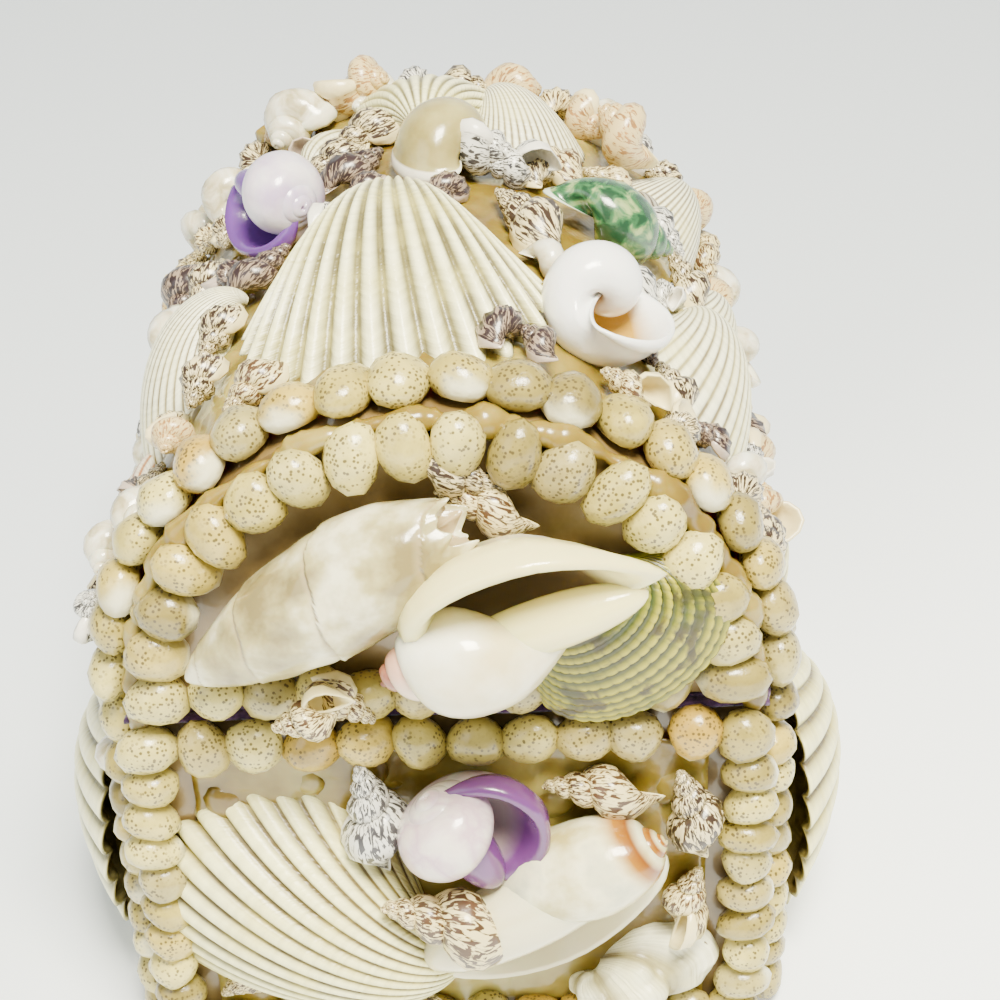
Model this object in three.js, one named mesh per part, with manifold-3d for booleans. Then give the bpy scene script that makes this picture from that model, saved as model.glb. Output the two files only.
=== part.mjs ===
// A shell box: a hollow board box with a half-barrel lid, lined with felt and covered in glued sea shells.
// Millimetres, +Z up, origin in the middle of the underside. The show end, with the conch and the ark shell, faces -Y.
import * as THREE from "three";
import { mergeVertices } from "three/addons/utils/BufferGeometryUtils.js";
import Module from "manifold-3d";

const wasm = await Module();
wasm.setup();

const { degToRad } = THREE.MathUtils;

// ---- Driving dimensions ----
const WIDTH = 90; // board box across X
const LENGTH = 110; // board box along Y
const BODY_HEIGHT = 64; // board box without its lid
const BOARD = 3; // thickness of every board
const FELT = 0.8; // thickness of the felt lining
const GAP = 0.3; // air kept between pieces that touch
const BEAD_WIDTH = 7.6; // button shells of the border rows, across the row
const BEAD_HEIGHT = 6.4; // how far a button shell stands off the board
const SKIRT = 3; // straight foot of the lid, below its half-round
const BARREL_FACETS = 20; // flats that make up the half-round of the lid

const RADIUS = WIDTH / 2; // outside of the lid's half-round
const LID_BASE = BODY_HEIGHT + FELT + 2 * GAP; // the lid rests on the felt that covers the rim
const BARREL_AXIS = LID_BASE + SKIRT; // height of the half-round's centre line
const HALF_WIDTH = WIDTH / 2;
const HALF_LENGTH = LENGTH / 2;
const BEAD_AXIS = BEAD_HEIGHT / 2 + GAP; // a row's centre line stands this far off its board

// ---- Solids and booleans ----
function toSolid(geometry) {
  const bare = geometry.index ? geometry.toNonIndexed() : geometry.clone();
  bare.deleteAttribute("normal");
  bare.deleteAttribute("uv");
  const merged = mergeVertices(bare, 1e-4);
  return new wasm.Manifold(
    new wasm.Mesh({
      numProp: 3,
      vertProperties: merged.attributes.position.array,
      triVerts: new Uint32Array(merged.index.array),
    }),
  );
}

function toGeometry(solid) {
  const { vertProperties, triVerts } = solid.getMesh();
  const geometry = new THREE.BufferGeometry();
  geometry.setAttribute("position", new THREE.BufferAttribute(vertProperties, 3));
  geometry.setIndex(new THREE.BufferAttribute(triVerts, 1));
  const flat = geometry.toNonIndexed();
  flat.computeVertexNormals();
  return flat;
}

// A copy that is larger by the gap, used to trim what lies against the piece.
function grown(geometry) {
  geometry.computeBoundingBox();
  const centre = geometry.boundingBox.getCenter(new THREE.Vector3());
  const size = geometry.boundingBox.getSize(new THREE.Vector3());
  const larger = geometry
    .clone()
    .translate(-centre.x, -centre.y, -centre.z)
    .scale(1 + (2.2 * GAP) / size.x, 1 + (2.2 * GAP) / size.y, 1 + (2.2 * GAP) / size.z)
    .translate(centre.x, centre.y, centre.z);
  return toSolid(larger);
}

const largestBody = (solid) =>
  solid.decompose().reduce((best, body) => (body.volume() > best.volume() ? body : best));

// ---- The group, and the pieces already in place ----
const box = new THREE.Group();
const inPlace = []; // grown solids that later shells are trimmed against

function addPiece(name, solid, material) {
  const mesh = new THREE.Mesh(toGeometry(solid), material);
  mesh.name = name;
  box.add(mesh);
}

const shellMaterial = (color, roughness) =>
  new THREE.MeshStandardMaterial({ color, roughness, metalness: 0 });
const board = shellMaterial(0x8a7448, 0.7);
const felt = shellMaterial(0x3b2440, 0.95);
const button = shellMaterial(0xc9bd92, 0.45);
const chalk = shellMaterial(0xe9e4c8, 0.45);
const pearl = shellMaterial(0xcfc7b2, 0.3);
const mauve = shellMaterial(0xc9b3c6, 0.35);
const green = shellMaterial(0x8d9a45, 0.3);
const jade = shellMaterial(0x4f8159, 0.3);
const freckled = shellMaterial(0xb9a98a, 0.4);

// ---- Board body and board lid ----
function halfRound(radius, length) {
  const outline = new THREE.Shape();
  outline.moveTo(-radius, -SKIRT).lineTo(radius, -SKIRT);
  outline.absarc(0, 0, radius, 0, Math.PI, false);
  const bar = new THREE.ExtrudeGeometry(outline, {
    depth: length,
    bevelEnabled: false,
    curveSegments: BARREL_FACETS / 2, // an arc gets two flats for each
  });
  bar.translate(0, 0, -length / 2).rotateX(Math.PI / 2);
  return bar.translate(0, 0, BARREL_AXIS);
}

function block(width, length, low, high) {
  const slab = new THREE.BoxGeometry(width, length, high - low);
  return toSolid(slab.translate(0, 0, (low + high) / 2));
}

const lidInside = halfRound(RADIUS - BOARD, LENGTH - 2 * BOARD);
const lidMouth = block(2 * (RADIUS - BOARD), LENGTH - 2 * BOARD, LID_BASE - 1, LID_BASE + 1e-3);
const bodyInside = block(WIDTH - 2 * BOARD, LENGTH - 2 * BOARD, BOARD, BODY_HEIGHT + 1);
addPiece("box_body", block(WIDTH, LENGTH, 0, BODY_HEIGHT).subtract(bodyInside), board);
addPiece(
  "barrel_lid",
  toSolid(halfRound(RADIUS, LENGTH)).subtract(toSolid(lidInside).add(lidMouth)),
  board,
);

// ---- Felt linings: a tray that turns over the rim, and a vault in the lid ----
const trayWidth = WIDTH - 2 * (BOARD + GAP);
const trayLength = LENGTH - 2 * (BOARD + GAP);
const rimTop = BODY_HEIGHT + GAP + FELT;
const tray = block(trayWidth, trayLength, BOARD + GAP, rimTop)
  .add(block(WIDTH, LENGTH, BODY_HEIGHT + GAP, rimTop))
  .subtract(block(trayWidth - 2 * FELT, trayLength - 2 * FELT, BOARD + GAP + FELT, rimTop + 1));
addPiece("body_felt", tray, felt);

const vaultRadius = RADIUS - BOARD - GAP;
const vault = toSolid(halfRound(vaultRadius, trayLength)).subtract(
  toSolid(halfRound(vaultRadius - FELT, trayLength - 2 * FELT)).add(
    block(2 * (vaultRadius - FELT), trayLength - 2 * FELT, LID_BASE - 1, LID_BASE + 1e-3),
  ),
);
addPiece("lid_felt", vault, felt);

// Shells are trimmed against full blocks, a gap larger than the boards.
inPlace.push(block(WIDTH + 2 * GAP, LENGTH + 2 * GAP, 0, LID_BASE));
inPlace.push(toSolid(halfRound(RADIUS + GAP, LENGTH + 2 * GAP)));

// Moves every vertex of a geometry by one function of its place.
function sculpt(geometry, move) {
  const place = geometry.attributes.position;
  const point = new THREE.Vector3();
  for (let i = 0; i < place.count; i++) {
    move(point.fromBufferAttribute(place, i));
    place.setXYZ(i, point.x, point.y, point.z);
  }
  return geometry;
}

// ---- Faces that carry shells: u runs to the right and v up, seen from outside ----
const FACES = {
  front: (u, v) => ({ at: [u, -HALF_LENGTH, v], right: [1, 0, 0], up: [0, 0, 1] }),
  back: (u, v) => ({ at: [-u, HALF_LENGTH, v], right: [-1, 0, 0], up: [0, 0, 1] }),
  left: (u, v) => ({ at: [-HALF_WIDTH, -u, v], right: [0, -1, 0], up: [0, 0, 1] }),
  right: (u, v) => ({ at: [HALF_WIDTH, u, v], right: [0, 1, 0], up: [0, 0, 1] }),
  // On the barrel, u is the angle in degrees from the crown towards +X, and v runs along +Y.
  barrel: (u, v) => {
    const angle = degToRad(u);
    const across = [Math.cos(angle), 0, -Math.sin(angle)];
    const at = [RADIUS * Math.sin(angle), v, BARREL_AXIS + RADIUS * Math.cos(angle)];
    return { at, right: across, up: [0, 1, 0] };
  },
};

function faceMatrix(face, u, v) {
  const { at, right, up } = FACES[face](u, v);
  const x = new THREE.Vector3(...right);
  const y = new THREE.Vector3(...up);
  const z = new THREE.Vector3().crossVectors(x, y);
  return new THREE.Matrix4().makeBasis(x, y, z).setPosition(...at);
}

// ---- Rows of button shells ----
const BEAD_SIDES = 5;

// A row is a string of beads along +X, turned as one piece: its flat side is down, its axis at y = z = 0.
function beadString(count, pitch) {
  const belly = BEAD_WIDTH / 2;
  const neck = 0.62 * belly;
  const profile = [new THREE.Vector2(0, 0), new THREE.Vector2(neck, 0)];
  for (let i = 0; i < count; i++) {
    profile.push(new THREE.Vector2(belly, (i + 0.5) * pitch));
    profile.push(new THREE.Vector2(neck, (i + 1) * pitch));
  }
  profile.push(new THREE.Vector2(0, count * pitch));
  return layString(profile, count * pitch);
}

// The plain bar that a row fills, a gap larger all round: other shells are trimmed against it.
function stringSleeve(count, pitch) {
  const radius = BEAD_WIDTH / 2 + GAP;
  const steps = count;
  const length = count * pitch + 2 * GAP;
  const profile = [new THREE.Vector2(0, 0)];
  for (let i = 0; i <= steps; i++) profile.push(new THREE.Vector2(radius, (i * length) / steps));
  profile.push(new THREE.Vector2(0, length));
  return layString(profile, length);
}

function layString(profile, length) {
  const string = new THREE.LatheGeometry(profile, BEAD_SIDES, Math.PI / BEAD_SIDES);
  string.rotateZ(-Math.PI / 2).translate(-length / 2, 0, 0);
  return string.scale(1, 1, BEAD_HEIGHT / BEAD_WIDTH);
}

// Puts a straight row on a face, centred on (u, v) and turned by turn degrees about the face's normal.
function straightRow(face, u, v, turn, count, pitch) {
  const onFace = faceMatrix(face, u, v)
    .multiply(new THREE.Matrix4().makeRotationZ(degToRad(turn)))
    .multiply(new THREE.Matrix4().makeTranslation(0, 0, BEAD_AXIS));
  return (string) => toSolid(string(count, pitch).applyMatrix4(onFace));
}

// Bends a row over the half-round: flat against an end board, or standing on the barrel beside its edge.
function archRow(side, radius, inset, standing, count) {
  const sweep = Math.PI + (2 * (SKIRT - 2 * GAP)) / radius;
  const pitch = (radius * sweep) / count;
  const bend = (point) => {
    const angle = ((standing ? side : -side) * point.x) / radius;
    const out = radius + (standing ? point.z : point.y);
    const along = HALF_LENGTH + inset + (standing ? point.y : point.z);
    point.set(out * Math.sin(angle), side * along, BARREL_AXIS + out * Math.cos(angle));
  };
  return (string) => toSolid(sculpt(string(count, pitch), bend));
}

function addRow(name, ...runs) {
  const fuse = (string) => runs.map((run) => run(string)).reduce((a, b) => a.add(b));
  addPiece(name, fuse(beadString), button);
  inPlace.push(fuse(stringSleeve));
}

const RIM_ROW = BODY_HEIGHT - BEAD_WIDTH / 2 - 0.1; // height of the row along the body's rim
const SILL_ROW = LID_BASE + BEAD_WIDTH / 2 + 0.1; // height of the row along the lid's lower edge
const BASE_ROW = BEAD_WIDTH / 2 + 0.3; // height of the row along the foot
const ARCH_RADIUS = RADIUS - BEAD_WIDTH / 2 - 0.3; // centre line of the row round an end board
const EDGE_INSET = -(BEAD_WIDTH / 2 + 0.4); // the barrel row lies just behind the edge
const COLUMN_BEADS = 8;
const COLUMN_PITCH = (RIM_ROW - BASE_ROW - BEAD_WIDTH - 0.6) / COLUMN_BEADS;
const COLUMN_MIDDLE = (RIM_ROW + BASE_ROW) / 2;

for (const [end, side] of [["front", -1], ["back", 1]]) {
  addRow(`${end}_arch_row`, archRow(side, ARCH_RADIUS, BEAD_AXIS, false, 18));
  addRow(`${end}_edge_row`, archRow(side, RADIUS + BEAD_AXIS, EDGE_INSET, true, 20));
  addRow(`${end}_rim_row`, straightRow(end, 0, RIM_ROW, 0, 12, 7.9));
  addRow(`${end}_base_row`, straightRow(end, 0, BASE_ROW, 0, 12, 7.9));
}
addRow("front_sill_row", straightRow("front", 0, SILL_ROW, 0, 10, 7.1));
for (const side of ["left", "right"]) {
  addRow(`${side}_rim_row`, straightRow(side, 0, RIM_ROW, 0, 13, 8.3));
  addRow(`${side}_base_row`, straightRow(side, 0, BASE_ROW, 0, 13, 8.3));
}

// Each corner has a column of beads on both of its faces, joined by a dab of glue between two of them.
function addCorner(name, end, side, endU, sideU) {
  const [cornerX] = FACES[side](0, 0).at;
  const cornerY = FACES[end](0, 0).at[1];
  const glueWidth = BEAD_HEIGHT / 2;
  const glueDepth = BEAD_HEIGHT * 0.8;
  const glue = new THREE.BoxGeometry(glueWidth, glueDepth, COLUMN_PITCH / 2);
  const glueX = cornerX + Math.sign(cornerX) * (GAP + glueWidth / 2);
  const glueY = cornerY + Math.sign(cornerY) * (glueDepth / 2 - 1.6);
  glue.translate(glueX, glueY, COLUMN_MIDDLE + COLUMN_PITCH / 2);
  addRow(
    name,
    straightRow(end, endU, COLUMN_MIDDLE, 90, COLUMN_BEADS, COLUMN_PITCH),
    straightRow(side, sideU, COLUMN_MIDDLE, 90, COLUMN_BEADS, COLUMN_PITCH),
    () => toSolid(glue),
  );
}

const END_COLUMN = HALF_WIDTH - 0.9; // the columns' centre lines, from the middle of their boards
const SIDE_COLUMN = HALF_LENGTH - 3.6;
addCorner("front_left_corner", "front", "left", -END_COLUMN, SIDE_COLUMN);
addCorner("front_right_corner", "front", "right", END_COLUMN, -SIDE_COLUMN);
addCorner("back_left_corner", "back", "left", END_COLUMN, -SIDE_COLUMN);
addCorner("back_right_corner", "back", "right", -END_COLUMN, SIDE_COLUMN);

// ---- Single shells ----
// Each lies along +X, from its umbo or apex to its margin or mouth, with +Z away from the board.

// One valve of a clam, hollow side down, with ribs that fan out from the umbo.
function valve({ length, width, height, ribs, rings = 2, groove = 0.9 }) {
  const profile = [new THREE.Vector2(0, 0), new THREE.Vector2(1, 0)];
  for (let ring = rings - 1; ring >= 0; ring--) {
    profile.push(new THREE.Vector2((ring / rings) ** 1.2, 1));
  }
  const lathe = new THREE.LatheGeometry(profile, 2 * ribs).rotateX(Math.PI / 2);
  const umbo = -0.36 * length;
  return sculpt(lathe, (point) => {
    const around = Math.atan2(point.y, point.x);
    const reach = Math.min(1, Math.hypot(point.x, point.y));
    const inGroove = Math.abs(Math.round(((around + Math.PI / 2) * ribs) / Math.PI)) % 2;
    // Most of the ribs run forward, so rays are packed closer in front of the umbo than behind it.
    const ray = around * (0.5 + 0.5 * Math.abs(around / Math.PI) ** 3);
    const alongX = Math.cos(ray) / (length / 2);
    const alongY = Math.sin(ray) / (width / 2);
    const start = umbo / (length / 2);
    const square = alongX ** 2 + alongY ** 2;
    const toEdge = (Math.sqrt((start * alongX) ** 2 + square * (1 - start ** 2)) - start * alongX) / square;
    const scallop = 1 - (inGroove * groove * reach) / Math.max(toEdge, length / 2);
    const swell = (1 - reach ** 2) * (0.8 + 0.9 * reach * Math.max(0, Math.cos(ray)));
    const top = Math.max(0, height * swell - inGroove * groove * reach * (1 - reach ** 4));
    point.set(
      umbo + reach * toEdge * scallop * Math.cos(ray),
      reach * toEdge * scallop * Math.sin(ray),
      point.z > 0.5 ? top : 0,
    );
  });
}

// A valve with its real hollow, for the ones that stand off their board.
function hollowValve(shape) {
  const thickness = 1.6;
  const inner = valve({
    ...shape,
    length: shape.length - 2 * thickness,
    width: shape.width - 2 * thickness,
    height: shape.height - thickness,
  });
  return toSolid(valve(shape)).subtract(toSolid(inner.translate(0, 0, -0.2)));
}

// A coiled snail on its side: round whorls up to the last suture, then the body whorl and its canal.
function snail({ length, width, whorls, sides = 6, body = 0.45, canal = 0.3, taper = 0.8 }) {
  const radius = width / 2;
  const widest = body + 0.4 * (1 - body);
  const envelope = (along) => radius * Math.min(1, along / widest) ** taper;
  const profile = [new THREE.Vector2(0, 0)];
  for (let whorl = 1; whorl <= whorls; whorl++) {
    const suture = body * 1.5 ** (whorl - whorls);
    const belly = whorl === whorls ? widest : suture * 1.22;
    profile.push(new THREE.Vector2(0.8 * envelope(suture), suture * length));
    profile.push(new THREE.Vector2(envelope(belly), belly * length));
  }
  profile.push(new THREE.Vector2(canal * width, (0.45 + 0.55 * widest) * length));
  profile.push(new THREE.Vector2(0.5 * canal * width, length), new THREE.Vector2(0, length));
  const lathe = new THREE.LatheGeometry(profile, sides, Math.PI / sides);
  return lathe.rotateZ(-Math.PI / 2).translate(-length / 2, 0, 0.46 * width);
}

// An ellipsoid, for the mouths that are cut into snails and for the lips on them.
function ellipsoid(sizes, at, turn = 0) {
  const ball = new THREE.SphereGeometry(0.5, 7, 4).scale(...sizes);
  return toSolid(ball.rotateX(degToRad(turn)).translate(...at));
}

// A round-mouthed snail whose mouth opens to one side of the tip.
function openSnail({ mouth, mouthAt, ...shape }) {
  return toSolid(snail(shape)).subtract(ellipsoid(mouth, mouthAt));
}

// A conch with its long slit mouth up, beside a broad flared lip.
function conch({ length, width }) {
  const body = toSolid(snail({ length, width: 0.86 * width, whorls: 2, sides: 7, body: 0.3 }));
  const lipSize = [0.68 * length, 0.5 * width, 0.3 * width];
  const lip = ellipsoid(lipSize, [0.1 * length, 0.32 * width, 0.62 * width], -20);
  const slitSize = [0.56 * length, 0.24 * width, 0.5 * width];
  const slit = ellipsoid(slitSize, [0.12 * length, 0.14 * width, 0.86 * width], -20);
  return body.add(lip).subtract(slit);
}

// Places a shell on a face at (u, v), turned about the face's normal and lifted at its far end,
// then trims away what would run into the boards, the rows and the shells already there.
function addShell(name, shell, material, face, u, v, { turn = 0, lift = 0, roll = 0, raise = 0 }) {
  const onFace = faceMatrix(face, u, v)
    .multiply(new THREE.Matrix4().makeTranslation(0, 0, raise))
    .multiply(new THREE.Matrix4().makeRotationZ(degToRad(turn)))
    .multiply(new THREE.Matrix4().makeRotationY(degToRad(-lift)))
    .multiply(new THREE.Matrix4().makeRotationX(degToRad(roll)));
  const geometry = shell.isBufferGeometry ? shell : toGeometry(shell);
  geometry.applyMatrix4(onFace);
  const trimmed = inPlace.reduce((left, other) => left.subtract(other), toSolid(geometry));
  addPiece(name, largestBody(trimmed), material);
  inPlace.push(grown(geometry));
}

const whelk = (length, width) => snail({ length, width, whorls: 3 });
const smallWhelk = (length, width) => snail({ length, width, whorls: 2, sides: 5 });

// The lid's front end
addShell("front_conch", conch({ length: 44, width: 21 }), pearl, "front", 10, 86, { turn: 19, raise: 1 });
addShell("long_cerith", snail({ length: 50, width: 16, whorls: 4, sides: 7, body: 0.6, taper: 0.6 }), pearl,
  "front", -15, 88, { turn: 32, raise: 0.6 });
addShell("green_ribbed_shell", valve({ length: 25, width: 34, height: 13, ribs: 9 }), green,
  "front", 24, 82, { turn: -43, raise: 3 });
addShell("whelk_over_cerith", smallWhelk(15.5, 7.5), freckled, "front", 7, 100, { turn: -22, raise: 1 });
addShell("whelk_under_cerith", smallWhelk(13, 8), freckled, "front", -18, 72.5, { turn: 18, raise: 7 });

// The body's front end
addShell("front_ark", valve({ length: 45, width: 37, height: 12, ribs: 16, rings: 3 }), chalk,
  "front", -22, 26.5, { turn: 156, raise: GAP });
addShell("body_conch", conch({ length: 43, width: 20 }), pearl, "front", 15, 29, { turn: -145, raise: 1 });
addShell("mauve_snail", openSnail({
  length: 23,
  width: 18,
  whorls: 2,
  body: 0.3,
  canal: 0.5,
  mouth: [13, 11, 14],
  mouthAt: [4, 1, 17],
}), mauve, "front", 4, 47.5, { turn: -25 });
addShell("grey_whelk", whelk(19, 10), freckled, "front", -11.5, 47, { turn: -78, raise: 1.5 });
addShell("front_whelk", whelk(20, 11.5), freckled, "front", -0.5, 27, { turn: -18, raise: 11 });
addShell("upper_whelk", whelk(18.5, 9), freckled, "front", 22.5, 50.5, { turn: -7 });
addShell("edge_whelk", whelk(18, 9), freckled, "front", 35.5, 46, { turn: -73 });
addShell("lower_edge_whelk", smallWhelk(16, 8), freckled, "front", 35, 28, { turn: -107 });
addShell("white_shell", valve({ length: 22, width: 13, height: 7, ribs: 6 }), chalk,
  "front", 31, 14.5, { turn: 18, raise: GAP });
addShell("foot_whelk", smallWhelk(15, 7), freckled, "front", -6, 12.5, { turn: 6, raise: 6 });

// The barrel, from the show end to the back
addShell("big_cockle", valve({ length: 42, width: 44, height: 13, ribs: 16, rings: 3 }), chalk,
  "barrel", -7, -26, { turn: -90, lift: -6, raise: 1 });
addShell("left_cockle", valve({ length: 32, width: 26, height: 9, ribs: 11 }), chalk,
  "barrel", -57, -12, { turn: -168, raise: 1.8 });
addShell("white_moon", openSnail({
  length: 18,
  width: 17.5,
  whorls: 2,
  body: 0.3,
  canal: 0.5,
  mouth: [10, 9, 12],
  mouthAt: [4, -1, 15],
}), chalk, "barrel", 27, -33, { turn: -100 });
addShell("green_turban", snail({ length: 24, width: 13, whorls: 2 }), jade, "barrel", 33, 8, { turn: -166 });
addShell("violet_snail", openSnail({
  length: 20,
  width: 15,
  whorls: 2,
  body: 0.3,
  canal: 0.5,
  mouth: [11, 8, 11],
  mouthAt: [4, 0, 14],
}), mauve, "barrel", -31, 11.5, { turn: -130 });
addShell("olive_moon", snail({ length: 17, width: 16, whorls: 2, body: 0.25, canal: 0.5 }), pearl,
  "barrel", 1, 18.5, { turn: -70 });
addShell("fine_clam", valve({ length: 20, width: 17, height: 6, ribs: 9 }), chalk,
  "barrel", 19, 35.5, { turn: -60, raise: 0.8 });
addShell("crown_cockle", valve({ length: 18, width: 20, height: 7, ribs: 9 }), chalk,
  "barrel", -6, 38, { turn: 90, raise: 1 });
addShell("speckled_whelk", whelk(21, 9), freckled, "barrel", 17, -2, { turn: -56 });
addShell("grey_barrel_whelk", smallWhelk(14, 7), freckled, "barrel", 15, 17, { turn: 10, raise: 0.6 });
addShell("smooth_clam", valve({ length: 26, width: 19, height: 8, ribs: 6 }), chalk,
  "barrel", 53, 36, { turn: -100, raise: 1 });
addShell("lined_cockle", valve({ length: 22, width: 20, height: 8, ribs: 9 }), chalk,
  "barrel", 67, 13, { turn: -90, raise: 1.2 });
addShell("right_cockle", valve({ length: 32, width: 26, height: 9, ribs: 11 }), chalk,
  "barrel", 58, -15, { turn: -80, raise: 1.6 });
addShell("right_whelk", smallWhelk(18, 7.5), freckled, "barrel", 80, -30, { turn: -90 });

// The sides: a pair of large arks on each, the margins of the front ones standing off the board
const sideArk = { length: 42, width: 44, height: 14, ribs: 9 };
for (const [side, ahead] of [["left", 1], ["right", -1]]) {
  const turn = ahead > 0 ? 0 : 180;
  addShell(`${side}_front_ark`, hollowValve(sideArk), chalk, side, 28 * ahead, 32, { turn, lift: 6 });
  addShell(`${side}_back_ark`, valve(sideArk), chalk, side, -22 * ahead, 32, { turn, raise: GAP });
}

// The back end, plainer than the front
addShell("back_cockle", valve({ length: 40, width: 44, height: 12, ribs: 13 }), chalk,
  "back", 0, 31, { turn: 90, raise: GAP });
addShell("back_lid_cockle", valve({ length: 26, width: 36, height: 9, ribs: 11 }), chalk,
  "back", 0, 88, { turn: 90, raise: GAP });

export default box;
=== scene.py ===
"""A shell box: a small board box with a half-barrel lid, lined with felt and covered in glued sea shells."""

from math import cos, exp, pi, radians, sin, tau
from random import Random

import bmesh
import bpy
from mathutils import Matrix, Vector, noise


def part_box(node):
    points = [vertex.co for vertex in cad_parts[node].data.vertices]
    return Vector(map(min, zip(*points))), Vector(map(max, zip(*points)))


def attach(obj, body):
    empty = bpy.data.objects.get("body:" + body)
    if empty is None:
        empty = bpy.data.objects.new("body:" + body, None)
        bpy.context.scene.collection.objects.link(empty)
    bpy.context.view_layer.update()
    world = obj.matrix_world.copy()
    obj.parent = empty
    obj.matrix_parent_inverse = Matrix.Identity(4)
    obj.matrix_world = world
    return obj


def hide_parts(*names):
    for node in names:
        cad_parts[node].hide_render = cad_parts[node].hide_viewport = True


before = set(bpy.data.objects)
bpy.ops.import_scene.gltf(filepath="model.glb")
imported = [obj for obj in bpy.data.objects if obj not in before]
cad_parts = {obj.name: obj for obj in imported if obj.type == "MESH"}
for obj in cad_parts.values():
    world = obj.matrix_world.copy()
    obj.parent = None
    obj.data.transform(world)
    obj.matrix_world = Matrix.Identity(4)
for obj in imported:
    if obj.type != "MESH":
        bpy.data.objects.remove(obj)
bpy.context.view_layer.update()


# ---- Camera ----
# A short telephoto lens that looks down on the show end from straight in front,
# a little under forty centimetres from the middle of the box.

camera = bpy.data.objects.new("camera", bpy.data.cameras.new("camera"))
bpy.context.scene.collection.objects.link(camera)
bpy.context.scene.camera = camera
camera.data.lens = 78.2
camera.data.clip_start = 0.01
camera.matrix_world = (
    Matrix.Translation((0.0114, -0.3036, 0.2586))
    @ Matrix.Rotation(radians(0.6), 4, "Z")
    @ Matrix.Rotation(radians(90 - 32.66), 4, "X")
    @ Matrix.Rotation(radians(-2.03), 4, "Z")
)


# ---- Studio ----
# A pale sweep of paper that runs up behind the box, under one soft lamp and a weaker fill.
# It is painted greyer at the back and on the left as painted shade, and painted brighter, with a painted
# glow, towards the front right.


def plain_shader(name, color, roughness, **sockets):
    """A new material with these plain values; returns it and its shader, whose id_data is the node tree."""
    material = bpy.data.materials.new(name)
    material.use_nodes = True
    shader = material.node_tree.nodes["Principled BSDF"]
    shader.inputs["Base Color"].default_value = (*color, 1)
    shader.inputs["Roughness"].default_value = roughness
    for socket, value in sockets.items():
        shader.inputs[socket.replace("_", " ")].default_value = value
    return material, shader


def add_soft_light(name, place, aim, size, watts, color):
    light = bpy.data.objects.new(name, bpy.data.lights.new(name, "AREA"))
    light.data.size = size
    light.data.energy = watts
    light.data.color = color
    light.location = place
    light.rotation_euler = (Vector(aim) - Vector(place)).to_track_quat("-Z", "Y").to_euler()
    bpy.context.scene.collection.objects.link(light)


def add_ramp(shader, driver, stops):
    """A colour ramp along a driving value; stops are (place, colour), where one number is a grey."""
    ramp = shader.id_data.nodes.new("ShaderNodeValToRGB")
    shader.id_data.links.new(driver, ramp.inputs["Fac"])
    elements = ramp.color_ramp.elements
    while len(elements) < len(stops):
        elements.new(0.5)
    for element, (place, color) in zip(elements, stops):
        color = (color,) * 3 if isinstance(color, (int, float)) else color
        element.position = place
        element.color = (*color, 1)[:4]
    return ramp.outputs["Color"]


def paint(shader, color):
    """Gives a shader a pattern for its colour."""
    shader.id_data.links.new(color, shader.inputs["Base Color"])


def painted_light_paper_material():
    """Pale paper with a painted pool of light and a painted glow towards the front right, and painted shade
    at the back and on the left.
    """
    material, shader = plain_shader("pale_paper_with_painted_light", (0.9, 0.94, 1.0), 0.6, Emission_Strength=0.7)
    nodes, links = material.node_tree.nodes, material.node_tree.links
    place = nodes.new("ShaderNodeTexCoord")
    towards = nodes.new("ShaderNodeVectorMath")
    towards.operation = "DOT_PRODUCT"
    towards.inputs[1].default_value = (1, -1, 0)
    reach = nodes.new("ShaderNodeMapRange")
    reach.inputs["From Min"].default_value = -0.3
    reach.inputs["From Max"].default_value = 0.2
    links.new(place.outputs["Object"], towards.inputs[0])
    links.new(towards.outputs["Value"], reach.inputs["Value"])
    # daylight here is a painted pool of light across the paper: painted shade greys it at the back and left,
    # painted light brightens it at the front right
    daylight = reach.outputs["Result"]
    tone = add_ramp(shader, daylight, [(0.45, (0.76, 0.81, 0.86)), (0.7, (0.92, 0.96, 1))])
    # The paper glows by painted emission towards the front right, though it is no lamp.
    painted_glow = add_ramp(shader, daylight, [(0.5, (0.06, 0.07, 0.08)), (0.95, 1)])
    paint(shader, tone)
    links.new(painted_glow, shader.inputs["Emission Color"])
    return material


def new_object(name, mesh, material):
    """A smooth object in one material, from a mesh that is now complete."""
    data = bpy.data.meshes.new(name)
    mesh.to_mesh(data)
    mesh.free()
    data.shade_smooth()
    data.materials.append(material)
    fresh = bpy.data.objects.new(name, data)
    bpy.context.scene.collection.objects.link(fresh)
    return fresh


FLAT_PAPER = 0.7  # metres of paper lying flat behind the box
BEND_RADIUS = 0.38
BEND_RUN = 0.6  # length of the paper that makes the bend
sweep = bmesh.new()
bmesh.ops.create_grid(sweep, x_segments=1, y_segments=40, size=1.0)
for vert in sweep.verts:
    run = vert.co.y * 1.6 + 0.4
    bend = pi / 2 * min(max((run - FLAT_PAPER) / BEND_RUN, 0.0), 1.0)
    upright = max(0.0, run - FLAT_PAPER - BEND_RUN)
    back = min(run, FLAT_PAPER) + BEND_RADIUS * sin(bend)
    vert.co = (vert.co.x * 5.0, back, BEND_RADIUS * (1 - cos(bend)) + upright)
backdrop = new_object("backdrop", sweep, painted_light_paper_material())

world = bpy.data.worlds.new("studio")
world.use_nodes = True
daylight = world.node_tree.nodes["Background"]
daylight.inputs["Color"].default_value = (0.9, 0.95, 1.0, 1)
daylight.inputs["Strength"].default_value = 0.45
bpy.context.scene.world = world
add_soft_light("key", (0.12, -0.38, 0.85), (0, 0, 0.05), 0.3, 36.0, (1, 0.95, 0.77))
add_soft_light("fill", (-0.6, -0.5, 0.5), (0, 0, 0.05), 0.6, 3.0, (0.96, 0.97, 1))


# ---- Board body and barrel lid ----
# Thin boards glued into an open box and a half-barrel with closed ends.
# They were brushed with glue before the shells went on, so they have dried to a glossy ochre; the ochre is
# painted darker still as painted shade for the gaps where the boards show.

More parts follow.
